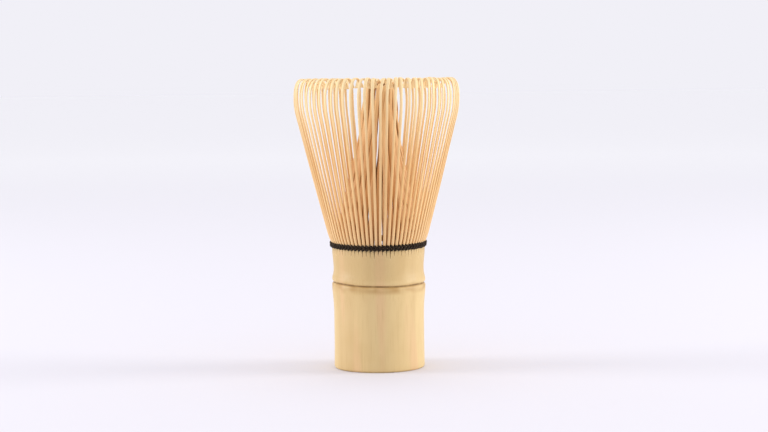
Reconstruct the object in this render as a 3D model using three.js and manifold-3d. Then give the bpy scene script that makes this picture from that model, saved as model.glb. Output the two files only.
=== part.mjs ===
// A bamboo tea whisk. One culm makes the handle. Above its rim the wall is split into segments, and
// each segment is pared to a comb of outer tines, which flare into a crown, and a comb of inner tines,
// which lean together into a bud. One black thread is woven round the roots of the tines.
// Millimetres, +Z up. The origin is the centre of the foot of the handle.
import * as THREE from "three";
import { mergeVertices } from "three/addons/utils/BufferGeometryUtils.js";
import Module from "manifold-3d";

// Overall sizes
const wholeHeight = 106; // foot to the top of the crown
const crownRadius = 30.2; // outer face of the crown where it is widest
const culmRadius = 16.4; // grip of the handle
const nodeHeight = 31.3; // groove of the culm's node above the foot
const threadHeight = 45.5; // middle of the woven band above the foot

// Handle
const footWall = 3.6; // culm wall at the open foot
const neckWall = 3.3; // culm wall above the node
const footChamfer = 0.6;
const footSwell = 0.1; // how far the foot stands out of the grip
const diaphragmThickness = 2.4; // wall that the node grows across the bore
const nodeSwell = 0.7; // how far the node's lower lip stands out of the grip
const grooveDepth = 0.5; // groove between the node's two lips
const lipHeight = 1.1; // groove to the crest of each lip
const rimSwell = 0.5; // how far the rim stands out of the grip

// Splitting
const segmentCount = 18;
const outerPerSegment = 4;
const innerPerSegment = 2;
const slitWidth = 0.42; // gap between neighbouring tines at the thread
const slitDepth = 3.2; // how far the slits run down the culm below its rim
const rootBlockHeight = 2; // unsplit foot of each comb, hidden by the thread

// Outer tines
const outerRootThickness = 0.8;
const outerHeadWidth = 1; // where the crown is widest
const outerHeadThickness = 0.45;
const outerTipWidth = 0.6;
const outerTipThickness = 0.3;
const outerHeadAt = 0.8; // share of the tine's length from its root to its head
const crownBendRadius = 2.6; // the turn from the side of the crown to its top
const crownTipRadius = 24; // where the hooked tips end, from the axis
const tipDroop = 3.3; // how far the tips hook down below the crest of the bend
const flareBow = 1.3; // how far the flare's control point stands out of its chord
const shoulderRise = 13; // start of the shoulder to the start of the bend
const shoulderReach = 1.6; // start of the shoulder to the widest radius

// Inner tines
const innerRootWidth = 2.1;
const innerRootThickness = 0.8;
const innerHeadWidth = 0.52; // where the bundle is gathered
const innerHeadThickness = 0.5;
const innerTipWidth = 0.22;
const innerTipThickness = 0.3;
const innerHeadAt = 0.9; // share of the tine's length from its root to its head
const budRadius = 5.1; // outer face of the bundle where it is gathered
const budDrop = 1; // top of the crown to the top of the bud
const budBendRadius = 2.2; // the turn of the inner tips
const budTipRadius = 2.4; // where the inner tips end, from the axis

// Thread
const threadThickness = 0.6; // outer course
const innerCourseThickness = 0.4; // course between outer and inner tines
const bandHeight = 1.8;

// Fits
const gap = 0.3; // between pieces that lie against each other
const crossingPlay = 0.11; // each side of a thread crossing in its slit
const innerSway = THREE.MathUtils.degToRad(4); // travel of the inner bundle to each side

// Fineness
const roundSteps = 36;
const blockSteps = 3;
const centrelineSteps = 2;
const weldDistance = 1e-4;

// Levels and radii that follow
const segmentAngle = (2 * Math.PI) / segmentCount;
const blockBottom = threadHeight - rootBlockHeight / 2;
const blockTop = threadHeight + rootBlockHeight / 2;
const rimHeight = blockBottom - gap;
const rimRadius = culmRadius + rimSwell;
const outerRootRadius = rimRadius - outerRootThickness / 2;
const outerRootInside = rimRadius - outerRootThickness;
const innerCourseInside = outerRootInside - gap - innerCourseThickness;
const innerRootOutside = innerCourseInside - gap;
const innerRootRadius = innerRootOutside - innerRootThickness / 2;
const ledgeHeight = blockBottom - gap - innerRootOutside * Math.sin(innerSway);

const wasm = await Module();
wasm.setup();

// A closed geometry as a solid that can be joined and cut
function toSolid(geometry) {
  const bare = geometry.clone();
  bare.deleteAttribute("normal");
  bare.deleteAttribute("uv");
  const merged = mergeVertices(bare, weldDistance);
  const corners = [];
  for (let i = 0; i < merged.index.count; i += 3) {
    const [a, b, c] = merged.index.array.slice(i, i + 3);
    if (a !== b && b !== c && c !== a) corners.push(a, b, c);
  }
  return new wasm.Manifold(
    new wasm.Mesh({
      numProp: 3,
      vertProperties: merged.attributes.position.array,
      triVerts: new Uint32Array(corners),
    }),
  );
}

function toGeometry(solid) {
  const { vertProperties, triVerts } = solid.getMesh();
  const geometry = new THREE.BufferGeometry();
  geometry.setAttribute("position", new THREE.BufferAttribute(vertProperties, 3));
  geometry.setIndex(new THREE.BufferAttribute(triVerts, 1));
  geometry.computeVertexNormals();
  return geometry;
}

function joined(geometries) {
  return toGeometry(geometries.map(toSolid).reduce((whole, piece) => whole.add(piece)));
}

// A profile of [radius, height] points turned about +Z
function turned(profile) {
  const points = profile.map(([radius, height]) => new THREE.Vector2(radius, height));
  return new THREE.LatheGeometry(points, roundSteps).rotateX(Math.PI / 2);
}

// Width or thickness along a tine: root to head in one straight taper, then head to tip
function taper(root, head, tip, headAt) {
  return (along) =>
    along < headAt
      ? THREE.MathUtils.lerp(root, head, along / headAt)
      : THREE.MathUtils.lerp(head, tip, (along - headAt) / (1 - headAt));
}

// One tine in the plane y = 0: a box blank, bent to a centreline of (radius, height) and shaved down
function tine(centreline, width, thickness) {
  const stations = centreline.getPoints(centrelineSteps);
  const last = stations.length - 1;
  const reached = [0];
  for (let k = 1; k <= last; k++) {
    reached.push(reached[k - 1] + stations[k].distanceTo(stations[k - 1]));
  }
  const blank = new THREE.BoxGeometry(1, 1, 1, 1, 1, last);
  const corner = blank.getAttribute("position");
  for (let i = 0; i < corner.count; i++) {
    const k = Math.round((corner.getZ(i) + 0.5) * last);
    const before = stations[Math.max(k - 1, 0)];
    const after = stations[Math.min(k + 1, last)];
    const lean = after.clone().sub(before).normalize();
    const along = reached[k] / reached[last];
    const out = corner.getX(i) * thickness(along);
    corner.setXYZ(
      i,
      stations[k].x + lean.y * out,
      corner.getY(i) * width(along),
      stations[k].y - lean.x * out,
    );
  }
  return blank;
}

// The unsplit foot of a comb: a short piece of the culm's wall, one slit narrower than its segment
function rootBlock(inside, outside) {
  const halfAngle = segmentAngle / 2 - slitWidth / (inside + outside);
  const outline = new THREE.Shape();
  outline.absarc(0, 0, outside, -halfAngle, halfAngle, false);
  outline.absarc(0, 0, inside, halfAngle, -halfAngle, true);
  const block = new THREE.ExtrudeGeometry(outline, {
    depth: rootBlockHeight,
    bevelEnabled: false,
    curveSegments: blockSteps,
  });
  return block.translate(0, 0, blockBottom);
}

// A root block with tines evenly spaced over its segment
function comb(blade, count, inside, outside) {
  const pitch = segmentAngle / count;
  const blades = Array.from({ length: count }, (_, i) =>
    blade.clone().rotateZ((i - (count - 1) / 2) * pitch),
  );
  return joined([rootBlock(inside, outside), ...blades]);
}

function outerCentreline() {
  const widest = crownRadius - outerHeadThickness / 2;
  const crest = wholeHeight - outerHeadThickness / 2;
  const bendStart = crest - crownBendRadius;
  const shoulder = new THREE.Vector2(widest - shoulderReach, bendStart - shoulderRise);
  const flareStart = new THREE.Vector2(outerRootRadius, blockTop);
  const chord = shoulder.clone().sub(flareStart);
  const bow = new THREE.Vector2(chord.y, -chord.x).setLength(flareBow);
  const flareControl = flareStart.clone().lerp(shoulder, 0.5).add(bow);
  const slope = shoulder.clone().sub(flareControl);
  const shoulderControl = shoulder.y + (shoulderReach * slope.y) / slope.x;
  const path = new THREE.Path().moveTo(outerRootRadius, threadHeight).lineTo(flareStart.x, flareStart.y);
  path.quadraticCurveTo(flareControl.x, flareControl.y, shoulder.x, shoulder.y);
  path.quadraticCurveTo(widest, Math.min(shoulderControl, bendStart), widest, bendStart);
  const bendCentre = widest - crownBendRadius;
  const dip = Math.atan2(tipDroop, bendCentre - crownTipRadius);
  path.absarc(bendCentre, bendStart, crownBendRadius, 0, Math.PI / 2 + dip, false);
  return path.lineTo(crownTipRadius, crest - tipDroop);
}

function innerCentreline() {
  const gathered = budRadius - innerHeadThickness / 2;
  const crest = wholeHeight - budDrop - innerHeadThickness / 2;
  const bendStart = crest - budBendRadius;
  const lean = Math.atan2(innerRootRadius - gathered, bendStart - blockTop);
  const path = new THREE.Path().moveTo(innerRootRadius, threadHeight).lineTo(innerRootRadius, blockTop);
  const centre = new THREE.Vector2(gathered - budBendRadius * Math.cos(lean), bendStart);
  path.absarc(centre.x, centre.y, budBendRadius, lean, Math.PI / 2, false);
  return path.lineTo(Math.min(budTipRadius, centre.x), crest);
}

function outerComb() {
  const pitchWidth = (2 * Math.PI * outerRootRadius) / (segmentCount * outerPerSegment);
  const blade = tine(
    outerCentreline(),
    taper(pitchWidth - slitWidth, outerHeadWidth, outerTipWidth, outerHeadAt),
    taper(outerRootThickness - crossingPlay, outerHeadThickness, outerTipThickness, outerHeadAt),
  );
  return comb(blade, outerPerSegment, outerRootInside, rimRadius);
}

function innerComb() {
  const blade = tine(
    innerCentreline(),
    taper(innerRootWidth, innerHeadWidth, innerTipWidth, innerHeadAt),
    taper(innerRootThickness - crossingPlay, innerHeadThickness, innerTipThickness, innerHeadAt),
  );
  return comb(blade, innerPerSegment, innerRootRadius - innerRootThickness / 2, innerRootOutside);
}

// The culm: open foot, diaphragm at the node, two lips with a groove between, and a slit rim
function handleCulm() {
  const foot = culmRadius + footSwell;
  const bore = culmRadius - footWall;
  const cavity = culmRadius - neckWall;
  const lowerLip = nodeHeight - lipHeight;
  const upperLip = nodeHeight + lipHeight;
  const slitFoot = rimHeight - slitDepth;
  const body = turned([
    [0, nodeHeight - diaphragmThickness / 2],
    [bore, nodeHeight - diaphragmThickness / 2],
    [bore, 0],
    [foot - footChamfer, 0],
    [foot, footChamfer],
    [culmRadius, nodeHeight / 2],
    [culmRadius + nodeSwell / 3, lowerLip - 2 * lipHeight],
    [culmRadius + nodeSwell, lowerLip],
    [culmRadius + nodeSwell - grooveDepth, nodeHeight],
    [culmRadius + nodeSwell, upperLip],
    [culmRadius, (upperLip + slitFoot) / 2],
    [rimRadius, slitFoot],
    [rimRadius, rimHeight],
    [outerRootInside, rimHeight],
    [outerRootInside, ledgeHeight],
    [cavity, ledgeHeight],
    [cavity, nodeHeight + diaphragmThickness / 2],
    [0, nodeHeight + diaphragmThickness / 2],
  ]);
  const slitCount = segmentCount * outerPerSegment;
  const reach = rimRadius + gap - cavity + gap;
  let split = toSolid(body);
  for (let i = 0; i < slitCount; i++) {
    const slit = new THREE.BoxGeometry(reach, slitWidth, slitDepth + gap);
    slit.translate(cavity - gap + reach / 2, 0, slitFoot + (slitDepth + gap) / 2);
    split = split.subtract(toSolid(slit.rotateZ((i * 2 * Math.PI) / slitCount)));
  }
  return toGeometry(split);
}

// A course of thread: a flat ring with its edges taken off
function course(inside, thickness) {
  const edge = thickness / 4;
  const outside = inside + thickness;
  const bottom = threadHeight - bandHeight / 2;
  const top = threadHeight + bandHeight / 2;
  return turned([
    [inside, bottom + edge],
    [inside + edge, bottom],
    [outside - edge, bottom],
    [outside, bottom + edge],
    [outside, top - edge],
    [outside - edge, top],
    [inside + edge, top],
    [inside, top - edge],
    [inside, bottom + edge],
  ]);
}

// The thread: a course outside the outer tines, a course inside them, and a crossing between segments
function bindingThread() {
  const inner = course(innerCourseInside, innerCourseThickness);
  const outer = course(rimRadius + gap, threadThickness);
  const from = innerCourseInside + innerCourseThickness / 2;
  const to = rimRadius + gap + threadThickness / 2;
  const crossings = Array.from({ length: segmentCount }, (_, i) => {
    const crossing = new THREE.BoxGeometry(to - from, slitWidth - 2 * crossingPlay, bandHeight / 2);
    crossing.translate((from + to) / 2, 0, threadHeight);
    return crossing.rotateZ((i + 0.5) * segmentAngle);
  });
  return joined([inner, outer, ...crossings]);
}

const bamboo = { roughness: 0.55, metalness: 0 };
const finishes = {
  culm: { color: 0xe3c48f, ...bamboo },
  outerTine: { color: 0xf2cf97, ...bamboo },
  innerTine: { color: 0xe8b67d, ...bamboo },
  thread: { color: 0x2c231b, roughness: 0.85, metalness: 0 },
};

const whisk = new THREE.Group();

function place(name, geometry, finish, azimuth = 0) {
  const mesh = new THREE.Mesh(geometry, new THREE.MeshStandardMaterial(finish));
  mesh.name = name;
  mesh.rotation.z = azimuth;
  whisk.add(mesh);
}

place("handle_culm", handleCulm(), finishes.culm);
place("binding_thread", bindingThread(), finishes.thread, -Math.PI / 2);

// Segments are numbered from the front, -Y, anticlockwise as seen from above
const outer = outerComb();
const inner = innerComb();
for (let i = 0; i < segmentCount; i++) {
  const azimuth = i * segmentAngle - Math.PI / 2;
  const number = String(i + 1).padStart(2, "0");
  place(`outer_comb_${number}`, outer, finishes.outerTine, azimuth);
  place(`inner_comb_${number}`, inner, finishes.innerTine, azimuth);
}

export default whisk;
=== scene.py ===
# %% [markdown]
# # A bamboo tea whisk
#
# The whisk is one piece of bamboo and one thread. The lower half is a plain length of culm, with the ring of
# its node. The upper half of the same culm is split into more than a hundred tines: the outer ones flare into
# a crown with its rim turned in, and the inner ones lean together into a bud. A black thread, woven between
# the tines at their roots, keeps the two sets apart.
#
# The imported model is the fixed frame. It says where each comb of tines is and what it turns about, and the
# pieces made here stand in its place. Its box is kept at once.

# %% The imported model
import math

import bpy
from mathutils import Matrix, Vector


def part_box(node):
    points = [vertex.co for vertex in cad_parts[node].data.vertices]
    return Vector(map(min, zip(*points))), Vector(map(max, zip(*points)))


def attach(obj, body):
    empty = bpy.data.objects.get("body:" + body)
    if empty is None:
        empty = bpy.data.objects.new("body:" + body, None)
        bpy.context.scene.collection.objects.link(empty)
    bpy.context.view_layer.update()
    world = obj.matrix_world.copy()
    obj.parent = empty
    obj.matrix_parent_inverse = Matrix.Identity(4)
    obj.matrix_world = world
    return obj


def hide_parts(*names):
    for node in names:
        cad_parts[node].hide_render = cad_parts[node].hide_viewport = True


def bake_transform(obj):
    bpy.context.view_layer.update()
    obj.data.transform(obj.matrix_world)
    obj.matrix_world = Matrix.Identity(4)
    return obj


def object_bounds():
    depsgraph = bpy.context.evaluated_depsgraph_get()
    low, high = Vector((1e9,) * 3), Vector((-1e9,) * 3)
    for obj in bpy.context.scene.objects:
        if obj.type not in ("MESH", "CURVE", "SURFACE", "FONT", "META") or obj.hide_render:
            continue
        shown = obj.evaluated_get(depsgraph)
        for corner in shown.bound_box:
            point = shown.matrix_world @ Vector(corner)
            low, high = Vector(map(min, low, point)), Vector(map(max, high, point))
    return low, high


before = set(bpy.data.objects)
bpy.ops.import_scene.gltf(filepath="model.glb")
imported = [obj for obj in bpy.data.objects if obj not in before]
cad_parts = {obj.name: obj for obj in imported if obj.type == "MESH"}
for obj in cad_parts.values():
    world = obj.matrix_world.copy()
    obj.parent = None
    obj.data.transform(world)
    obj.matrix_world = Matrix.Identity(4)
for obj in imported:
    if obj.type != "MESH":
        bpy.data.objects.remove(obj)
cad_low, cad_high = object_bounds()
mm = 0.001
print("packed model, mm:", [round(side / mm, 2) for side in cad_high - cad_low])

# %% [markdown]
# ## Sizes that every piece shares
#
# A maker works from the culm outwards, so the levels come first: the node, the thread and the top of the
# crown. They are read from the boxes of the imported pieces, and what is finer than those boxes is named below.

# %% Levels and radii
band_low, band_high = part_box("binding_thread")
thread_height = (band_low.z + band_high.z) / 2
band_radius = band_high.x
root_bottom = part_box("outer_comb_01")[0].z
rim_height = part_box("handle_culm")[1].z
lip_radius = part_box("handle_culm")[1].x
crown_radius = cad_high.y
crown_top = cad_high.z
bud_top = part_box("inner_comb_01")[1].z

segments = sum(name.startswith("outer_comb_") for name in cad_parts)
outer_per_segment = 4
inner_per_segment = 2
outer_count = segments * outer_per_segment
inner_count = segments * inner_per_segment

culm_radius = lip_radius - 0.7 * mm
rim_radius = lip_radius - 0.2 * mm
node_height = 31.3 * mm
outer_root_thickness = 0.8 * mm
slit_width = 0.42 * mm
outer_root_radius = rim_radius - outer_root_thickness / 2
inner_root_radius = outer_root_radius - 1.8 * mm
outer_pitch_width = math.tau * outer_root_radius / outer_count
print(f"{outer_count} outer tines, {inner_count} inner ones, thread at {thread_height / mm:.1f} mm")

# %% [markdown]
# ## Helpers
#
# Colours are written as the hex values that a colour picker shows, and turned to the linear numbers that the
# shader works with. Every node of every tree is added by one function, which takes the node's settings and
# what its inputs get: a number, or the output of another node. Sums are so common in a tree that they get a
# short form. The last one runs a tree once and keeps the result as a plain mesh, because only a plain mesh
# can be posed and exported.


# %% Colour, nodes and meshes
def linear(colour):
    """The linear RGBA of a hex sRGB colour such as "d8b98a"."""
    shares = [int(colour[i : i + 2], 16) / 255 for i in (0, 2, 4)]
    return [c / 12.92 if c <= 0.04045 else ((c + 0.055) / 1.055) ** 2.4 for c in shares] + [1]


def add(tree, kind, inputs=None, **settings):
    """Adds a node to tree. settings are its properties, and inputs maps a socket to a value or an output."""
    node = tree.nodes.new(kind)
    for name, value in settings.items():
        setattr(node, name, value)
    for socket, value in (inputs or {}).items():
        if isinstance(value, bpy.types.NodeSocket):
            tree.links.new(value, node.inputs[socket])
        else:
            node.inputs[socket].default_value = value
    return node


def maths_in(tree):
    """A function that adds one sum to tree and gives its output."""

    def maths(operation, *values):
        return add(tree, "ShaderNodeMath", dict(enumerate(values)), operation=operation).outputs[0]

    return maths


def link_object(name, data):
    thing = bpy.data.objects.new(name, data)
    bpy.context.scene.collection.objects.link(thing)
    return thing


def grow(piece, tree, values):
    """Runs tree on piece with these inputs, and keeps the result as the piece's own plain mesh."""
    modifier = piece.modifiers.new(tree.name, "NODES")
    modifier.node_group = tree
    sockets = {item.name: item.identifier for item in tree.interface.items_tree if item.in_out == "INPUT"}
    for name, value in values.items():
        modifier[sockets[name]] = value
    graph = bpy.context.evaluated_depsgraph_get()
    mesh = bpy.data.meshes.new_from_object(piece.evaluated_get(graph), depsgraph=graph)
    piece.modifiers.clear()
    piece.data = mesh
    return piece


# %% [markdown]
# ## Camera
#
# The whisk is seen from the front, at the level of its crown. So the rim of the crown is a straight band,
# while the node and the foot, which lie lower, are curved. The camera is turned slightly about its own line
# of sight, as it is when it is held by hand.

# %% Camera
view_distance = 0.66
view_height = 0.102
aim = Vector((2.2 * mm, 0, 55.4 * mm))
roll = math.radians(0.65)

camera = link_object("camera", bpy.data.cameras.new("camera"))
camera.data.lens = 84.8
camera.data.sensor_width = 36
camera.location = (aim.x, -view_distance, view_height)
camera.rotation_euler = (aim - camera.location).to_track_quat("-Z", "Y").to_euler()
camera.rotation_euler.rotate_axis("Z", -roll)
bpy.context.scene.camera = camera

# %% [markdown]
# ## Floor and light
#
# The whisk stands in a light tent: pale paper below, and soft white light from everywhere. The tent itself is
# the world, a single near-white colour. Two wide lamps, one at each side, light the handle's sides more than
# its front. They stand low, so that they light the upright whisk and only graze the paper. The paper carries
# painted shade that offsets the lamps: it is greyer near the whisk, where the lamps reach it, and pure white
# further away. There it returns the tent's own colour, so no horizon shows.


# %% Floor
def paper():
    """Matt white paper: a rough dielectric with no pattern, but with painted shade near the middle that lifts
    to white away from it.
    """
    material = bpy.data.materials.new("matt_white_paper")
    material.use_nodes = True
    tree = material.node_tree
    shader = tree.nodes["Principled BSDF"]
    place = add(tree, "ShaderNodeTexCoord").outputs["Object"]
    distance = add(tree, "ShaderNodeVectorMath", {0: place}, operation="LENGTH").outputs["Value"]
    # Painted shade: the paper is greyer near the whisk, where the lamps reach it, and lifts to white further
    # out.
    painted_shade_lift = add(tree, "ShaderNodeMapRange", {"Value": distance, "From Min": 0.1, "From Max": 2.2})
    painted_shade_lift.interpolation_type = "SMOOTHSTEP"
    tone = add(tree, "ShaderNodeMix", {0: painted_shade_lift.outputs[0]}, data_type="RGBA")
    tone.inputs[6].default_value = linear("e1dfe4")
    tone.inputs[7].default_value = linear("ffffff")
    tree.links.new(tone.outputs[2], shader.inputs["Base Color"])
    shader.inputs["Roughness"].default_value = 0.9
    shader.inputs["Specular IOR Level"].default_value = 0.1
    return material


floor_radius = 40
floor_mesh = bpy.data.meshes.new("paper_floor")
turns = [math.tau * i / 64 for i in range(64)]
ring = [(math.cos(turn) * floor_radius, math.sin(turn) * floor_radius, 0) for turn in turns]
floor_mesh.from_pydata(ring, [], [range(len(ring))])
floor_mesh.materials.append(paper())
link_object("paper_floor", floor_mesh)

# %% Light
world = bpy.data.worlds.new("light_tent")
world.use_nodes = True
world.node_tree.nodes["Background"].inputs["Color"].default_value = linear("f1f0f7")
world.node_tree.nodes["Background"].inputs["Strength"].default_value = 1.0
bpy.context.scene.world = world
bpy.context.scene.view_settings.view_transform = "Standard"


def lamp(name, place, size, power, colour):
    """A wide soft lamp at place, turned to the middle of the whisk."""
    light = bpy.data.lights.new(name, "AREA")
    light.shape = "DISK"
    light.size = size
    light.energy = power
    light.color = linear(colour)[:3]
    thing = link_object(name, light)
    thing.location = place
    thing.rotation_euler = (Vector((0, 0, 0.06)) - Vector(place)).to_track_quat("-Z", "Y").to_euler()


lamp("lamp_right", (1.1, 0.0, 0.32), 0.6, 7.6, "fffefa")
lamp("lamp_left", (-1.1, 0.0, 0.32), 0.6, 6.9, "ffffff")
lamp("lamp_top", (0, 0.4, 1.4), 0.8, 2, "ffffff")

# %% [markdown]
# ## Finish: the skin of the culm
#
# The outside of a bamboo culm is a hard, waxy skin. This one was boiled in lye, sun-bleached and dried, which
# turns green into straw. The eye gets three things from it: a satin gloss, broad vertical bands of slightly
# different straw, and fine fibres that run the whole height. Stretched noise gives all three, because noise
# in solid coordinates meets itself round the culm with no seam. The brown line in the groove of the node and
# the patches of painted shade just under it follow an attribute that the mesh carries: the height that each
# point had before the node was given its wave.


# %% Bamboo finishes
def stretched_noise(tree, place, across, along, detail=2.0, shift=0.0):
    """Noise with features about across wide and along long, both in metres, drawn out along Z."""
    scaled = add(tree, "ShaderNodeMapping", {"Vector": place})
    scaled.inputs["Location"].default_value = (shift, shift, shift)
    scaled.inputs["Scale"].default_value = (1 / across, 1 / across, 1 / along)
    noise = add(tree, "ShaderNodeTexNoise", {"Vector": scaled.outputs[0], "Scale": 1.0, "Detail": detail})
    return noise.outputs["Fac"]


def blend_colours(tree, share, first, second):
    """A mix of two colours; each is a hex value or an output."""
    mix = add(tree, "ShaderNodeMix", data_type="RGBA")
    for socket, value in ((0, share), (6, first), (7, second)):
        if isinstance(value, bpy.types.NodeSocket):
            tree.links.new(value, mix.inputs[socket])
        else:
            mix.inputs[socket].default_value = linear(value) if isinstance(value, str) else value
    return mix.outputs[2]


def ramp(tree, value, start, end, low=0.0, high=1.0):
    """value, taken from start..end to low..high, smoothly and clamped."""
    node = add(tree, "ShaderNodeMapRange", {"Value": value, "From Min": start, "From Max": end})
    node.inputs["To Min"].default_value = low
    node.inputs["To Max"].default_value = high
    node.interpolation_type = "SMOOTHSTEP"
    return node.outputs[0]


def culm_skin():
    """Dried, bleached bamboo skin: satin, with bands 7 mm and fibres 0.35 mm wide."""
    material = bpy.data.materials.new("bleached_bamboo_skin")
    material.use_nodes = True
    tree = material.node_tree
    shader = tree.nodes["Principled BSDF"]
    maths = maths_in(tree)
    place = add(tree, "ShaderNodeTexCoord").outputs["Object"]
    level = add(tree, "ShaderNodeAttribute", attribute_name="level").outputs["Fac"]

    bands = stretched_noise(tree, place, 7 * mm, 160 * mm, 1.0, 3.1)
    pink = stretched_noise(tree, place, 5 * mm, 60 * mm, 0.0, 8.4)
    fibres = stretched_noise(tree, place, 0.35 * mm, 14 * mm, 3.0)
    clouds = stretched_noise(tree, place, 9 * mm, 11 * mm, 2.0, 5.7)
    colour = blend_colours(tree, ramp(tree, bands, 0.36, 0.64), "cfb079", "dabe86")
    colour = blend_colours(tree, ramp(tree, pink, 0.5, 0.75, 0, 0.45), colour, "dfb486")
    colour = blend_colours(tree, ramp(tree, clouds, 0.45, 0.8, 0, 0.3), colour, "c5a367")
    colour = blend_colours(tree, ramp(tree, fibres, 0.5, 0.78, 0, 0.28), colour, "b8945a")

    neck = ramp(tree, level, node_height, node_height + 3 * mm, 0, 0.4)
    colour = blend_colours(tree, neck, colour, "bb9a62")
    # Painted shade: patches just under the node's groove are darkened towards b08646.
    node_shade_below = ramp(tree, level, node_height - 3.6 * mm, node_height - 1.4 * mm)
    above = ramp(tree, level, node_height - 0.2 * mm, node_height + 0.1 * mm, 1, 0)
    node_shade_patches = stretched_noise(tree, place, 6 * mm, 4 * mm, 1.0, 1.3)
    node_shade = maths("MULTIPLY", maths("MULTIPLY", node_shade_below, above), ramp(tree, node_shade_patches, 0.35, 0.65, 0.2, 0.75))
    colour = blend_colours(tree, node_shade, colour, "b08646")
    away = maths("ABSOLUTE", maths("SUBTRACT", level, node_height))
    thin = stretched_noise(tree, place, 3 * mm, 3 * mm, 2.0, 6.6)
    groove_share = ramp(tree, thin, 0.3, 0.6, 0.45, 0.85)
    line = maths("MULTIPLY", ramp(tree, away, 0.08 * mm, 0.4 * mm, 1, 0), groove_share)
    colour = blend_colours(tree, line, colour, "7c5a34")
    tree.links.new(colour, shader.inputs["Base Color"])

    gloss = ramp(tree, fibres, 0.3, 0.7, 0.44, 0.58)
    tree.links.new(gloss, shader.inputs["Roughness"])
    bump = add(tree, "ShaderNodeBump", {"Height": fibres, "Strength": 0.35, "Distance": 0.02 * mm})
    tree.links.new(bump.outputs[0], shader.inputs["Normal"])
    shader.inputs["IOR"].default_value = 1.5
    return material


def end_grain():
    """Sawn culm wall: pale soft tissue with the dark ends of fibre bundles, 0.45 mm apart."""
    material = bpy.data.materials.new("sawn_bamboo_end_grain")
    material.use_nodes = True
    tree = material.node_tree
    shader = tree.nodes["Principled BSDF"]
    place = add(tree, "ShaderNodeTexCoord").outputs["Object"]
    scaled = add(tree, "ShaderNodeMapping", {"Vector": place})
    scaled.inputs["Scale"].default_value = (1 / (0.45 * mm), 1 / (0.45 * mm), 1 / (8 * mm))
    cells = add(tree, "ShaderNodeTexVoronoi", {"Vector": scaled.outputs[0], "Scale": 1.0}).outputs["Distance"]
    dots = ramp(tree, cells, 0.16, 0.34, 0.85, 0)
    colour = blend_colours(tree, dots, "ecd3a2", "a77b45")
    tree.links.new(colour, shader.inputs["Base Color"])
    bump = add(tree, "ShaderNodeBump", {"Height": dots, "Strength": 0.3, "Distance": 0.03 * mm})
    tree.links.new(bump.outputs[0], shader.inputs["Normal"])
    shader.inputs["Roughness"].default_value = 0.75
    return material


def split_bamboo(name, root_shade, pale, deep, tip, fibre, gloss):
    """Split and pared bamboo: a tone for each tine, fibres 0.12 mm wide, painted shade at the roots and paler
    tips.
    """
    material = bpy.data.materials.new(name)
    material.use_nodes = True
    tree = material.node_tree
    shader = tree.nodes["Principled BSDF"]
    tone = add(tree, "ShaderNodeAttribute", attribute_name="tine_tone").outputs["Fac"]
    grain = add(tree, "ShaderNodeAttribute", attribute_name="tine_grain").outputs["Vector"]
    length = add(tree, "ShaderNodeAttribute", attribute_name="tine_length").outputs["Fac"]
    fibres = stretched_noise(tree, grain, 0.12 * mm, 9 * mm, 2.0)
    stains = stretched_noise(tree, grain, 2 * mm, 12 * mm, 1.0, 4.2)
    colour = blend_colours(tree, ramp(tree, tone, 0, 1), pale, deep)
    colour = blend_colours(tree, ramp(tree, stains, 0.5, 0.75, 0, 0.45), colour, deep)
    colour = blend_colours(tree, ramp(tree, length, 30 * mm, 62 * mm), colour, tip)
    # Painted shade: each tine darkens towards its root colour over its first 16 mm, deep among the others by
    # the thread.
    colour = blend_colours(tree, ramp(tree, length, 0, 16 * mm, 0.8, 0), colour, root_shade)
    colour = blend_colours(tree, ramp(tree, fibres, 0.5, 0.75, 0, 0.4), colour, fibre)
    tree.links.new(colour, shader.inputs["Base Color"])
    tree.links.new(ramp(tree, fibres, 0.3, 0.7, gloss, gloss + 0.15), shader.inputs["Roughness"])
    bump = add(tree, "ShaderNodeBump", {"Height": fibres, "Strength": 0.4, "Distance": 0.02 * mm})
    tree.links.new(bump.outputs[0], shader.inputs["Normal"])
    return material


def cotton_thread():
    """Twisted cotton, dyed black: matt, with a little sheen from the loose fibres."""
    material = bpy.data.materials.new("dyed_cotton_thread")
    material.use_nodes = True
    tree = material.node_tree
    shader = tree.nodes["Principled BSDF"]
    place = add(tree, "ShaderNodeTexCoord").outputs["Object"]
    lint = stretched_noise(tree, place, 0.12 * mm, 0.3 * mm, 3.0)
    colour = blend_colours(tree, ramp(tree, lint, 0.35, 0.7), "20160c", "3a2b1b")
    tree.links.new(colour, shader.inputs["Base Color"])
    bump = add(tree, "ShaderNodeBump", {"Height": lint, "Strength": 0.5, "Distance": 0.04 * mm})
    tree.links.new(bump.outputs[0], shader.inputs["Normal"])
    shader.inputs["Roughness"].default_value = 0.9
    shader.inputs["Specular IOR Level"].default_value = 0.2
    shader.inputs["Sheen Weight"].default_value = 0.08
    shader.inputs["Sheen Roughness"].default_value = 0.5
    return material


skin = culm_skin()
grain = end_grain()
outer_wood = split_bamboo("pared_outer_bamboo", "e8c088", "edc68b", "e3b475", "f5daa5", "cc9956", 0.45)
# The inner colours are darker and more orange: painted shade for the bundle in the crown's shadow, and painted
# light shining through the tines.
inner_wood_in_painted_shade = split_bamboo("pared_inner_bamboo_painted_shade", "a46c38", "ecc086", "c98d4b", "e9bd80", "a0642b", 0.5)
thread_cotton = cotton_thread()

# %% [markdown]
# ## The handle
#
# The handle is a length of culm with its node a third of the way down. Its outline is a formula: a straight
# grip, a slow swelling up to the lower lip of the node, a quick one down from the upper lip, and a narrow
# groove between the two. The wall is turned from that outline and then made less perfect, because no culm is
# round and no node is level. The wall is hollow: the foot is open, and a thin wall that the node grew closes
# it off inside.

# %% The outline of the culm
bore_radius = culm_radius - 3.6 * mm
cavity_radius = culm_radius - 3.3 * mm
ledge_height = rim_height - 1.05 * mm
tooth_top = thread_height - 0.3 * mm
foot_round = 0.9 * mm
lip_rise = 1.1 * mm
neck_height = 36 * mm
columns = 288
crease = 0.6


def swell(distance, width):
    return math.exp(-((distance / width) ** 2))


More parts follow.
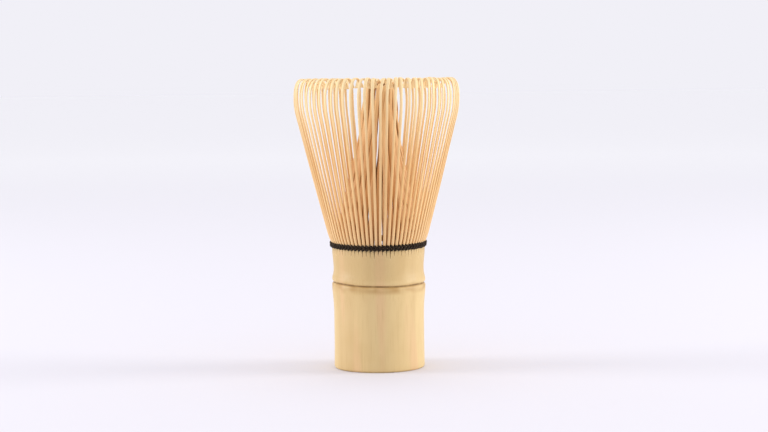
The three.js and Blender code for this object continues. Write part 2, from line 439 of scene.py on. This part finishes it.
def outside_radius(height):
    """Radius of the culm's skin at a height."""
    lower = height - (node_height - lip_rise)
    upper = height - (node_height + lip_rise)
    radius = culm_radius + 0.1 * mm * swell(height, 6 * mm)
    radius += 0.62 * mm * swell(lower, 5.2 * mm if lower < 0 else 1.0 * mm)
    radius += 0.58 * mm * swell(upper, 1.0 * mm if upper < 0 else 2.0 * mm)
    radius -= 0.42 * mm * swell(height - node_height, 0.3 * mm)
    rise = min(max((height - neck_height) / (rim_height - neck_height), 0), 1)
    return radius + (rim_radius - culm_radius) * rise * rise * (3 - 2 * rise)


def unevenness(radius, height, turn):
    """Where a point of the turned culm really is: the node rises and falls, and the culm is a little oval."""
    wave = 0.2 * math.cos(2 * turn) - 0.3 * math.cos(turn) + 0.05 * math.sin(7 * turn)
    lifted = height + wave * mm * swell(height - node_height, 3.5 * mm)
    oval = 1 + 0.0035 * math.cos(2 * turn - 0.6) + 0.0012 * math.cos(5 * turn + 0.3)
    return radius * oval, lifted


def turned(name, profile):
    """A closed profile of (radius, height, material) points turned about the axis; radius 0 makes a pole."""
    corners, faces, slots, levels, rings = [], [], [], [], []
    for radius, height, slot in profile:
        count = columns if radius else 1
        rings.append(range(len(corners), len(corners) + count))
        for i in range(count):
            turn = math.tau * i / columns
            out, up = unevenness(radius, height, turn)
            corners.append((out * math.cos(turn), out * math.sin(turn), up))
            levels.append(height)
    closed = profile[0][0] > 0
    for k, ring in enumerate(rings if closed else rings[:-1]):
        above = rings[(k + 1) % len(rings)]
        for i in range(columns):
            j = (i + 1) % columns
            loop = [ring[i % len(ring)], ring[j % len(ring)], above[j % len(above)], above[i % len(above)]]
            faces.append(list(dict.fromkeys(loop)))
            slots.append(profile[k][2])
    mesh = bpy.data.meshes.new(name)
    mesh.from_pydata(corners, [], faces)
    mesh.materials.append(skin)
    mesh.materials.append(grain)
    mesh.polygons.foreach_set("material_index", slots)
    attribute = mesh.attributes.new("level", "FLOAT", "POINT")
    attribute.data.foreach_set("value", levels)
    mesh.shade_smooth()
    mesh.set_sharp_from_angle(angle=crease)
    return link_object(name, mesh)


def arc(centre, radius, start, end, steps):
    """(radius, height) points round a quarter, angles in degrees from outwards."""
    angles = [math.radians(start + (end - start) * i / steps) for i in range(steps + 1)]
    return [(centre[0] + radius * math.cos(a), centre[1] + radius * math.sin(a)) for a in angles]


def spaced(start, end, step):
    count = max(1, round((end - start) / step))
    return [start + (end - start) * i / count for i in range(count)]


heights = spaced(foot_round, node_height - 3 * mm, 1.5 * mm)
heights += spaced(node_height - 3 * mm, node_height - 0.9 * mm, 0.3 * mm)
heights += spaced(node_height - 0.9 * mm, node_height + 0.9 * mm, 0.1 * mm)
heights += spaced(node_height + 0.9 * mm, node_height + 4 * mm, 0.35 * mm)
heights += spaced(node_height + 4 * mm, tooth_top, 1.0 * mm) + [tooth_top]
foot_radius = outside_radius(foot_round)
tooth_inside = outside_radius(tooth_top) - outer_root_thickness
SKIN, CUT = 0, 1
foot_arc = arc((foot_radius - foot_round, foot_round), foot_round, -90, 0, 6)
profile = [(radius, height, SKIN) for radius, height in foot_arc[:-1]]
profile += [(outside_radius(height), height, SKIN) for height in heights]
profile[-1] = (*profile[-1][:2], CUT)
profile += [
    (tooth_inside, tooth_top, CUT),
    (tooth_inside, ledge_height, CUT),
    (cavity_radius, ledge_height, CUT),
    (cavity_radius, node_height, CUT),
    (bore_radius, node_height - 2 * mm, CUT),
    (bore_radius, 0.4 * mm, CUT),
    (bore_radius + 0.4 * mm, 0, CUT),
]
culm = turned("bamboo_culm", profile)
print("culm:", len(culm.data.polygons), "faces")

# %% [markdown]
# ## The splits in the rim
#
# The wall was split with a knife into seventy-two tines, and each split runs on a little way below the
# thread, some further than others, and closes to nothing. A tree of Geometry Nodes puts a thin wedge at each
# split, with a seeded length, and takes the wedges out of the culm. The wedges carry the colour of cut wood,
# so the walls of the splits get it too.


# %% Split rim
def split_rim_tree():
    tree = bpy.data.node_groups.new("split_rim", "GeometryNodeTree")
    face = tree.interface
    face.new_socket("Culm", in_out="INPUT", socket_type="NodeSocketGeometry")
    for name, kind in (
        ("Splits", "NodeSocketInt"),
        ("First turn", "NodeSocketFloat"),
        ("Inside", "NodeSocketFloat"),
        ("Outside", "NodeSocketFloat"),
        ("Top", "NodeSocketFloat"),
        ("Shortest", "NodeSocketFloat"),
        ("Longest", "NodeSocketFloat"),
        ("Width", "NodeSocketFloat"),
        ("Seed", "NodeSocketInt"),
        ("Cut wood", "NodeSocketMaterial"),
    ):
        face.new_socket(name, in_out="INPUT", socket_type=kind)
    face.new_socket("Culm", in_out="OUTPUT", socket_type="NodeSocketGeometry")
    given = add(tree, "NodeGroupInput").outputs

    maths = maths_in(tree)
    index = add(tree, "GeometryNodeInputIndex").outputs[0]
    points = add(tree, "GeometryNodePoints", {"Count": given["Splits"]}).outputs[0]
    turn = maths("DIVIDE", maths("MULTIPLY", index, math.tau), given["Splits"])
    turn = maths("ADD", turn, given["First turn"])
    span = {2: given["Shortest"], 3: given["Longest"], "Seed": given["Seed"]}
    held = add(tree, "GeometryNodeCaptureAttribute", {"Geometry": points})
    held.capture_items.new("FLOAT", "turn")
    held.capture_items.new("FLOAT", "length")
    tree.links.new(turn, held.inputs["turn"])
    tree.links.new(add(tree, "FunctionNodeRandomValue", span).outputs[1], held.inputs["length"])
    length = held.outputs["length"]

    # One block for each split; its corners then say where it goes
    block = add(tree, "GeometryNodeMeshCube", {"Size": (1, 1, 1)}).outputs[0]
    placed = {"Points": held.outputs[0], "Instance": block}
    wedges = add(tree, "GeometryNodeInstanceOnPoints", placed).outputs[0]
    wedges = add(tree, "GeometryNodeRealizeInstances", {"Geometry": wedges}).outputs[0]
    spot = add(tree, "GeometryNodeInputPosition").outputs[0]
    corner = add(tree, "ShaderNodeSeparateXYZ", {0: spot}).outputs
    radius = add(tree, "ShaderNodeMapRange", {"Value": corner[0], "From Min": -0.5, "From Max": 0.5})
    tree.links.new(given["Inside"], radius.inputs["To Min"])
    tree.links.new(given["Outside"], radius.inputs["To Max"])

    # A wedge opens as the square root of its height, so it stays wide and then closes fast
    rise = maths("ADD", corner[2], 0.5)
    opening = maths("SQRT", maths("MAXIMUM", rise, 0.02))
    across = maths("MULTIPLY", corner[1], maths("MULTIPLY", opening, given["Width"]))
    height = maths("MULTIPLY_ADD", rise, length, maths("SUBTRACT", given["Top"], length))
    place = add(tree, "ShaderNodeCombineXYZ", {0: radius.outputs[0], 1: across, 2: height}).outputs[0]
    place = add(tree, "ShaderNodeVectorRotate", {"Vector": place, "Angle": held.outputs["turn"]})
    place.rotation_type = "Z_AXIS"
    moved = {"Geometry": wedges, "Position": place.outputs[0]}
    wedges = add(tree, "GeometryNodeSetPosition", moved).outputs[0]
    coloured = {"Geometry": wedges, "Material": given["Cut wood"]}
    wedges = add(tree, "GeometryNodeSetMaterial", coloured).outputs[0]
    split = add(tree, "GeometryNodeMeshBoolean", {"Mesh 1": given["Culm"]}, solver="EXACT")
    split.operation = "DIFFERENCE"
    tree.links.new(wedges, split.inputs["Mesh 2"])
    whole = add(tree, "GeometryNodeRealizeInstances", {"Geometry": split.outputs[0]}).outputs[0]
    add(tree, "NodeGroupOutput", {"Culm": whole})
    return tree


grow(
    culm,
    split_rim_tree(),
    {
        "Splits": outer_count,
        "First turn": 0.0,
        "Inside": cavity_radius + 1.6 * mm,
        "Outside": rim_radius + 1 * mm,
        "Top": tooth_top + 0.2 * mm,
        "Shortest": 2.9 * mm,
        "Longest": 4.4 * mm,
        "Width": 0.62 * mm,
        "Seed": 4,
        "Cut wood": grain,
    },
)
culm.data.set_sharp_from_angle(angle=crease)
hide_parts("handle_culm")
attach(culm, "handle")
print("split culm:", len(culm.data.polygons), "faces")

# %% [markdown]
# ## The wall inside the node
#
# A culm is hollow between its nodes and closed at them. The wall across the bore is a thin, slightly domed
# disc of pale tissue, so it is turned from a short profile that starts and ends on the axis.

# %% The wall inside the node
wall_rim = bore_radius + 0.5 * mm
wall_profile = [
    (0, node_height - 1.6 * mm, CUT),
    (wall_rim * 0.5, node_height - 1.4 * mm, CUT),
    (wall_rim * 0.85, node_height - 1.1 * mm, CUT),
    (wall_rim, node_height - 1.3 * mm, CUT),
    (wall_rim, node_height + 0.9 * mm, CUT),
    (wall_rim * 0.85, node_height + 0.6 * mm, CUT),
    (wall_rim * 0.5, node_height - 0.1 * mm, CUT),
    (0, node_height - 0.3 * mm, CUT),
]
node_wall = turned("node_wall", wall_profile)
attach(node_wall, "handle")

# %% [markdown]
# ## The tines
#
# Every tine is the same job done again: a straight stick of square section with its edges taken off, bent to
# a line, and pared thinner and narrower towards its tip. So there is one tree for all of them. It takes the
# line as a curve object, sweeps the stick along it, copies it round the axis, and then lets each copy stray a
# little from the rule, with seeded amounts: more or less flare, some sway to the side, a tip that stands
# higher or lower. Straying grows from nothing at the root. Each tine also keeps a tone of its own and its
# own measure along the grain, for the finish to read.
#
# A line is drawn by knots. A knot has a place, a lean from the upright, and the reach of its handles before
# and after, which is how a bent stick is felt rather than measured.


# %% Lines to bend the tines to
def bent_line(name, knots):
    """A Bezier curve in the plane y = 0. A knot is (radius, height, lean, reach before, reach after)."""
    curve = bpy.data.curves.new(name, "CURVE")
    curve.dimensions = "3D"
    spline = curve.splines.new("BEZIER")
    spline.resolution_u = 9
    spline.bezier_points.add(len(knots) - 1)
    for point, (radius, height, lean, before, after) in zip(spline.bezier_points, knots):
        lean = math.radians(lean)
        way = Vector((math.sin(lean), 0, math.cos(lean)))
        place = Vector((radius, 0, height))
        point.handle_left_type = point.handle_right_type = "FREE"
        point.co = place
        point.handle_left = place - way * before
        point.handle_right = place + way * after
    return link_object(name, curve)


widest = crown_radius - 0.22 * mm
crest = crown_top - 0.25 * mm
outer_line = bent_line(
    "outer_line",
    [
        (outer_root_radius, thread_height - 0.7 * mm, 0, 0, 0.5 * mm),
        (outer_root_radius + 0.45 * mm, thread_height + 0.9 * mm, 24, 0.5 * mm, 0.8 * mm),
        (outer_root_radius + 1.7 * mm, thread_height + 4.4 * mm, 15, 1.4 * mm, 12 * mm),
        (widest - 2.0 * mm, crest - 18 * mm, 14, 12 * mm, 4.5 * mm),
        (widest, crest - 6.5 * mm, 0, 5 * mm, 4.4 * mm),
        (widest - 3.0 * mm, crest, -92, 2.1 * mm, 1.3 * mm),
        (widest - 6.0 * mm, crest - 3.2 * mm, -165, 1.6 * mm, 0),
    ],
)
gathered = 5.1 * mm
waist_radius = 7.95 * mm
waist_height = 80.5 * mm
inner_line = bent_line(
    "inner_line",
    [
        (inner_root_radius, ledge_height - 0.5 * mm, 0, 0, 1 * mm),
        (inner_root_radius, thread_height + 0.8 * mm, -6, 1.5 * mm, 10 * mm),
        (waist_radius, waist_height, -12.3, 11 * mm, 6 * mm),
        (gathered, bud_top - 4.6 * mm, -4, 5 * mm, 1.8 * mm),
        (gathered - 1.2 * mm, bud_top - 1.0 * mm, -48, 1.3 * mm, 0.8 * mm),
        (1.6 * mm, bud_top - 0.3 * mm, -85, 1.0 * mm, 0),
    ],
)


# %% The tree that makes tines
def tine_tree():
    tree = bpy.data.node_groups.new("pared_tines", "GeometryNodeTree")
    face = tree.interface
    lengths = (
        "Root width",
        "Head width",
        "Tip width",
        "Root thickness",
        "Head thickness",
        "Tip thickness",
        "Sway",
        "Flare",
        "Flare inward",
        "Lift",
        "Tip drop",
        "Tip sway",
        "Swirl",
        "Lean",
        "Wobble",
    )
    for name, kind in (
        ("Blank", "NodeSocketGeometry"),
        ("Line", "NodeSocketObject"),
        ("Count", "NodeSocketInt"),
        ("First turn", "NodeSocketFloat"),
        ("Pitch", "NodeSocketFloat"),
        ("Head at", "NodeSocketFloat"),
        ("Root ends", "NodeSocketFloat"),
        ("Twist", "NodeSocketFloat"),
        *((length, "NodeSocketFloat") for length in lengths),
        ("Width spread", "NodeSocketFloat"),
        ("Seed", "NodeSocketInt"),
        ("Wood", "NodeSocketMaterial"),
    ):
        face.new_socket(name, in_out="INPUT", socket_type=kind)
    face.new_socket("Tines", in_out="OUTPUT", socket_type="NodeSocketGeometry")
    given = add(tree, "NodeGroupInput").outputs
    maths = maths_in(tree)

    def random(low, high, shift):
        seed = maths("ADD", given["Seed"], shift)
        return add(tree, "FunctionNodeRandomValue", {2: low, 3: high, "Seed": seed}).outputs[1]

    def negative(value):
        return maths("MULTIPLY", value, -1.0)

    # The stick: a square with its corners cut, swept along the line
    square = add(tree, "GeometryNodeCurvePrimitiveQuadrilateral", {"Width": 1.0, "Height": 1.0}).outputs[0]
    section = add(tree, "GeometryNodeFilletCurve", {"Curve": square, "Count": 1, "Radius": 0.2}, mode="POLY")
    section = section.outputs[0]
    place = add(tree, "GeometryNodeInputPosition").outputs[0]
    section = add(tree, "GeometryNodeCaptureAttribute", {"Geometry": section})
    section.capture_items.new("VECTOR", "corner")
    tree.links.new(place, section.inputs["corner"])
    line = add(tree, "GeometryNodeObjectInfo", {"Object": given["Line"]}).outputs["Geometry"]
    line = add(tree, "GeometryNodeResampleCurve", {"Curve": line}, mode="EVALUATED").outputs[0]
    parameter = add(tree, "GeometryNodeSplineParameter").outputs
    line = add(tree, "GeometryNodeCaptureAttribute", {"Geometry": line})
    for kind, name, value in (
        ("VECTOR", "centre", place),
        ("VECTOR", "way", add(tree, "GeometryNodeInputTangent").outputs[0]),
        ("FLOAT", "along", parameter["Factor"]),
        ("FLOAT", "length", parameter["Length"]),
    ):
        line.capture_items.new(kind, name)
        tree.links.new(value, line.inputs[name])
    swept = {"Curve": line.outputs[0], "Profile Curve": section.outputs[0]}
    stick = add(tree, "GeometryNodeCurveToMesh", swept)
    stick.inputs["Fill Caps"].default_value = True
    along = line.outputs["along"]

    # One copy for each tine, with its own random amounts
    points = add(tree, "GeometryNodePoints", {"Count": given["Count"]}).outputs[0]
    index = add(tree, "GeometryNodeInputIndex").outputs[0]
    turn = maths("MULTIPLY_ADD", index, given["Pitch"], given["First turn"])
    spread = given["Width spread"]
    tip_sway = maths("ADD", random(negative(given["Tip sway"]), given["Tip sway"], 9), given["Swirl"])
    points = add(tree, "GeometryNodeCaptureAttribute", {"Geometry": points})
    for name, value in (
        ("turn", turn),
        ("tone", random(0.0, 1.0, 1)),
        ("sway", random(negative(given["Sway"]), given["Sway"], 2)),
        ("flare", random(negative(given["Flare inward"]), given["Flare"], 3)),
        ("lift", random(negative(given["Lift"]), given["Lift"], 4)),
        ("drop", random(0.0, given["Tip drop"], 8)),
        ("tip sway", tip_sway),
        ("twist", random(negative(given["Twist"]), given["Twist"], 5)),
        ("breadth", random(maths("SUBTRACT", 1.0, spread), maths("ADD", 1.0, spread), 6)),
    ):
        points.capture_items.new("FLOAT", name)
        tree.links.new(value, points.inputs[name])
    own = points.outputs
    placed = {"Points": own[0], "Instance": stick.outputs[0]}
    tines = add(tree, "GeometryNodeInstanceOnPoints", placed).outputs[0]
    tines = add(tree, "GeometryNodeRealizeInstances", {"Geometry": tines}).outputs[0]

    # Width and thickness: root to head, then head to tip
    def pared(measure):
        body = add(tree, "ShaderNodeMapRange", {"Value": along, "From Min": given["Root ends"]})
        tree.links.new(given["Head at"], body.inputs["From Max"])
        tree.links.new(given[f"Root {measure}"], body.inputs["To Min"])
        tree.links.new(given[f"Head {measure}"], body.inputs["To Max"])
        whole = add(tree, "ShaderNodeMapRange", {"Value": along, "From Min": given["Head at"]})
        tree.links.new(body.outputs[0], whole.inputs["To Min"])
        tree.links.new(given[f"Tip {measure}"], whole.inputs["To Max"])
        return whole.outputs[0]

    angle = maths("MULTIPLY", own["twist"], along)
    corner = add(tree, "ShaderNodeVectorRotate", {"Vector": section.outputs["corner"], "Angle": angle})
    corner.rotation_type = "Z_AXIS"
    corner = add(tree, "ShaderNodeSeparateXYZ", {0: corner.outputs[0]}).outputs
    growth = maths("MULTIPLY", along, along)
    breadth = add(tree, "ShaderNodeMix", {0: along, 2: 1.0, 3: own["breadth"]}).outputs[0]
    across = maths("MULTIPLY", corner[0], maths("MULTIPLY", pared("width"), breadth))
    outward = maths("MULTIPLY", corner[1], pared("thickness"))

    # Where each point goes: on the bent line, strayed, and turned round the axis
    seat = {0: maths("MULTIPLY", along, 4.0), 1: maths("MULTIPLY", own["turn"], 9.0)}
    seat = add(tree, "ShaderNodeCombineXYZ", seat).outputs[0]
    noise = add(tree, "ShaderNodeTexNoise", {"Vector": seat, "Scale": 1.0, "Detail": 1.0})
    wander = {0: noise.outputs["Color"], 1: (0.5, 0.5, 0.5)}
    wander = add(tree, "ShaderNodeVectorMath", wander, operation="SUBTRACT").outputs[0]
    wander = add(tree, "ShaderNodeSeparateXYZ", {0: wander}).outputs
    amount = maths("MULTIPLY", given["Wobble"], along)
    centre = add(tree, "ShaderNodeSeparateXYZ", {0: line.outputs["centre"]}).outputs
    way = add(tree, "ShaderNodeSeparateXYZ", {0: line.outputs["way"]}).outputs
    radius = maths("MULTIPLY_ADD", way[2], outward, centre[0])
    radius = maths("MULTIPLY_ADD", own["flare"], growth, radius)
    radius = maths("MULTIPLY_ADD", wander[0], amount, radius)
    side = maths("MULTIPLY_ADD", own["sway"], growth, across)
    side = maths("MULTIPLY_ADD", wander[1], amount, side)
    height = maths("SUBTRACT", centre[2], maths("MULTIPLY", way[0], outward))
    height = maths("MULTIPLY_ADD", own["lift"], growth, height)
    tip_length = maths("SUBTRACT", 1.0, given["Head at"])
    past_head = maths("DIVIDE", maths("SUBTRACT", along, given["Head at"]), tip_length)
    past_head = maths("MAXIMUM", past_head, 0.0)
    past_head = maths("MULTIPLY", past_head, past_head)
    height = maths("SUBTRACT", height, maths("MULTIPLY", own["drop"], past_head))
    side = maths("MULTIPLY_ADD", own["tip sway"], past_head, side)
    spot = add(tree, "ShaderNodeCombineXYZ", {0: radius, 1: side, 2: height}).outputs[0]
    spot = add(tree, "ShaderNodeVectorRotate", {"Vector": spot, "Angle": own["turn"]}, rotation_type="Z_AXIS")
    leaning = add(tree, "ShaderNodeCombineXYZ", {0: maths("MULTIPLY", given["Lean"], growth)}).outputs[0]
    spot = add(tree, "ShaderNodeVectorMath", {0: spot.outputs[0], 1: leaning}, operation="ADD").outputs[0]
    tines = add(tree, "GeometryNodeSetPosition", {"Geometry": tines, "Position": spot}).outputs[0]
    # The sweep sees its section from the other side, so its faces are turned outwards here
    tines = add(tree, "GeometryNodeFlipFaces", {"Mesh": tines}).outputs[0]

    # What the finish reads
    start = maths("MULTIPLY_ADD", own["tone"], 3.0, line.outputs["length"])
    measure = add(tree, "ShaderNodeCombineXYZ", {0: across, 1: outward, 2: start}).outputs[0]
    for name, kind, value in (
        ("tine_tone", "FLOAT", own["tone"]),
        ("tine_length", "FLOAT", line.outputs["length"]),
        ("tine_grain", "FLOAT_VECTOR", measure),
    ):
        stored = {"Geometry": tines, "Name": name}
        tines = add(tree, "GeometryNodeStoreNamedAttribute", stored, data_type=kind)
        tree.links.new(value, tines.inputs["Value"])
        tines = tines.outputs[0]
    tines = add(tree, "GeometryNodeSetShadeSmooth", {"Geometry": tines}).outputs[0]
    tines = add(tree, "GeometryNodeRealizeInstances", {"Geometry": tines}).outputs[0]
    tines = add(tree, "GeometryNodeSetMaterial", {"Geometry": tines, "Material": given["Wood"]}).outputs[0]
    add(tree, "NodeGroupOutput", {"Tines": tines})
    return tree


tines = tine_tree()

# %% [markdown]
# ## The outer tines
#
# Four tines come from each of the eighteen segments that the culm is first split into, and a segment bends as
# one, so each is a piece of its own. A tine leaves the thread as wide as the split allows, is pared to under
# 1 mm where the crown is widest, and ends in a short hook. The hooks are drawn wider than real tips, so that
# they lie close enough to show as one band. From the thread up, the line of the wood bends little by little.

# %% Outer tines
pitch = math.tau / outer_count
for segment in range(segments):
    number = f"{segment + 1:02d}"
    middle = math.tau * segment / segments - math.pi / 2
    piece = link_object(f"outer_tines_{number}", bpy.data.meshes.new(f"outer_tines_{number}"))
    grow(
        piece,
        tines,
        {
            "Line": outer_line,
            "Count": outer_per_segment,
            "First turn": middle - pitch * (outer_per_segment - 1) / 2,
            "Pitch": pitch,
            "Head at": 0.8,
            "Root ends": 0.03,
            "Twist": 0.22,
            "Root width": outer_pitch_width - slit_width - 0.03 * mm,
            "Head width": 0.86 * mm,
            "Tip width": 1.3 * mm,
            "Root thickness": outer_root_thickness - 0.04 * mm,
            "Head thickness": 0.45 * mm,
            "Tip thickness": 0.34 * mm,
            "Sway": 0.5 * mm,
            "Flare": 0.12 * mm,
            "Flare inward": 0.35 * mm,
            "Lift": 0.1 * mm,
            "Tip drop": 0.7 * mm,
            "Tip sway": 1.2 * mm,
            "Swirl": 1.9 * mm,
            "Wobble": 0.5 * mm,
            "Width spread": 0.12,
            "Seed": 10 * segment,
            "Wood": outer_wood,
        },
    )
    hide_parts(f"outer_comb_{number}")
    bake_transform(piece)
print("outer tines of one segment:", len(piece.data.polygons), "faces")

# %% [markdown]
# ## The inner tines
#
# The inner tines come from the softer inside of the wall. Their wood is painted darker and more orange than
# the outer tines': painted shade for the bundle inside the crown, and painted light shining through the tines.
# They lean in from a ring just inside the thread, cross and crowd each other, and end in a bud of tips that
# curl over the middle. They are made by the same tree, with more straying. They sway together, so all of
# them are one piece.

# %% Inner tines
bundle = link_object("inner_tines", bpy.data.meshes.new("inner_tines"))
inner_pitch = math.tau / inner_count
grow(
    bundle,
    tines,
    {
        "Line": inner_line,
        "Count": inner_count,
        "First turn": -math.pi / 2,
        "Pitch": inner_pitch,
        "Head at": 0.9,
        "Root ends": 0.05,
        "Twist": 0.9,
        "Root width": 2.1 * mm,
        "Head width": 1.3 * mm,
        "Tip width": 1.0 * mm,
        "Root thickness": 0.8 * mm,
        "Head thickness": 0.5 * mm,
        "Tip thickness": 0.3 * mm,
        "Sway": 2.2 * mm,
        "Flare": 0.35 * mm,
        "Flare inward": 0.9 * mm,
        "Lift": 0.6 * mm,
        "Tip drop": 2.5 * mm,
        "Tip sway": 1.5 * mm,
        "Lean": 1.7 * mm,
        "Wobble": 3.2 * mm,
        "Width spread": 0.25,
        "Seed": 12,
        "Wood": inner_wood_in_painted_shade,
    },
)
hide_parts(*(f"inner_comb_{i + 1:02d}" for i in range(segments)))
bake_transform(bundle)
for line in (outer_line, inner_line):
    bpy.data.objects.remove(line)
print("inner tines:", len(bundle.data.polygons), "faces")

# %% [markdown]
# ## The thread
#
# The thread is twined: two strands go round together, and at every gap between tines the one that was outside
# goes in and the other comes out, so each outer tine is gripped from both sides. Two such rounds lie on each
# other. A strand's path is a formula of the turn: its radius swings out and in once for every two tines, and
# its height swings with it, a quarter of a swing later, which lets the two strands pass. The rounds are not
# quite level: they lie a little lower at the front. The strand itself is three plies laid together, so its
# section has three lobes, turned along its length.


# %% The tree that makes a strand
def strand_tree():
    tree = bpy.data.node_groups.new("twined_strand", "GeometryNodeTree")
    face = tree.interface
    for name, kind in (
        ("Blank", "NodeSocketGeometry"),
        ("Steps", "NodeSocketInt"),
        ("Swings", "NodeSocketFloat"),
        ("Start", "NodeSocketFloat"),
        ("Height", "NodeSocketFloat"),
        ("Middle radius", "NodeSocketFloat"),
        ("Reach", "NodeSocketFloat"),
        ("Climb", "NodeSocketFloat"),
        ("Tilt", "NodeSocketFloat"),
        ("Half thickness", "NodeSocketFloat"),
        ("Plies", "NodeSocketFloat"),
        ("Turns of lay", "NodeSocketFloat"),
        ("Cotton", "NodeSocketMaterial"),
    ):
        face.new_socket(name, in_out="INPUT", socket_type=kind)
    face.new_socket("Strand", in_out="OUTPUT", socket_type="NodeSocketGeometry")
    given = add(tree, "NodeGroupInput").outputs
    maths = maths_in(tree)

    factor = add(tree, "GeometryNodeSplineParameter").outputs["Factor"]
    turn = maths("MULTIPLY", factor, math.tau)
    swing = maths("MULTIPLY_ADD", turn, given["Swings"], given["Start"])
    out = maths("SINE", maths("MULTIPLY", maths("COSINE", swing), math.pi / 2))
    radius = maths("MULTIPLY_ADD", out, given["Reach"], given["Middle radius"])
    height = maths("MULTIPLY_ADD", maths("SINE", swing), given["Climb"], given["Height"])
    height = maths("MULTIPLY_ADD", maths("SINE", turn), given["Tilt"], height)
    place = add(tree, "ShaderNodeCombineXYZ", {0: radius, 2: height}).outputs[0]
    place = add(tree, "ShaderNodeVectorRotate", {"Vector": place, "Angle": turn})
    place.rotation_type = "Z_AXIS"
    place = place.outputs[0]
    circle = {"Resolution": given["Steps"], "Radius": 1.0}
    path = add(tree, "GeometryNodeCurvePrimitiveCircle", circle).outputs[0]
    path = add(tree, "GeometryNodeSetPosition", {"Geometry": path, "Position": place}).outputs[0]
    path = add(tree, "GeometryNodeSetCurveNormal", {"Curve": path}, mode="Z_UP").outputs[0]
    index = add(tree, "GeometryNodeInputIndex").outputs[0]
    lay = maths("MULTIPLY", maths("MULTIPLY", index, math.tau), given["Turns of lay"])
    lay = maths("DIVIDE", lay, given["Steps"])
    path = add(tree, "GeometryNodeSetCurveTilt", {"Curve": path, "Tilt": lay}).outputs[0]

    section = add(tree, "GeometryNodeCurvePrimitiveCircle", {"Resolution": 12, "Radius": 1.0}).outputs[0]
    round_turn = maths("MULTIPLY", factor, math.tau)
    lobe = maths("MULTIPLY_ADD", maths("COSINE", maths("MULTIPLY", round_turn, given["Plies"])), 0.2, 0.85)
    size = maths("MULTIPLY", lobe, given["Half thickness"])
    spot = add(tree, "GeometryNodeInputPosition").outputs[0]
    spot = add(tree, "ShaderNodeVectorMath", {0: spot, "Scale": size}, operation="SCALE").outputs[0]
    section = add(tree, "GeometryNodeSetPosition", {"Geometry": section, "Position": spot}).outputs[0]
    strand = add(tree, "GeometryNodeCurveToMesh", {"Curve": path, "Profile Curve": section}).outputs[0]
    strand = add(tree, "GeometryNodeSetShadeSmooth", {"Geometry": strand}).outputs[0]
    strand = add(tree, "GeometryNodeRealizeInstances", {"Geometry": strand}).outputs[0]
    coloured = {"Geometry": strand, "Material": given["Cotton"]}
    strand = add(tree, "GeometryNodeSetMaterial", coloured).outputs[0]
    add(tree, "NodeGroupOutput", {"Strand": strand})
    return tree


# %% Twined thread
strand_half = 0.5 * mm
row_spacing = 0.8 * mm
twining = strand_tree()
strands = []
for row in (-1, 1):
    for turn in (0, math.pi):
        strand = link_object(f"strand_{len(strands)}", bpy.data.meshes.new("strand"))
        grow(
            strand,
            twining,
            {
                "Steps": outer_count * 14,
                "Swings": outer_count / 2,
                "Start": math.pi / 2 + turn + (math.pi if row > 0 else 0),
                "Height": thread_height + row * row_spacing / 2,
                "Middle radius": outer_root_radius,
                "Reach": band_radius - outer_root_radius - strand_half,
                "Climb": 0.34 * mm * -row,
                "Tilt": 0.5 * mm,
                "Half thickness": strand_half,
                "Plies": 3.0,
                "Turns of lay": 56.0,
                "Cotton": thread_cotton,
            },
        )
        strands.append(strand)
with bpy.context.temp_override(active_object=strands[0], selected_editable_objects=strands):
    bpy.ops.object.join()
thread = strands[0]
thread.name = "twined_thread"
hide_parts("binding_thread")
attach(thread, "handle")
print("thread:", len(thread.data.polygons), "faces")
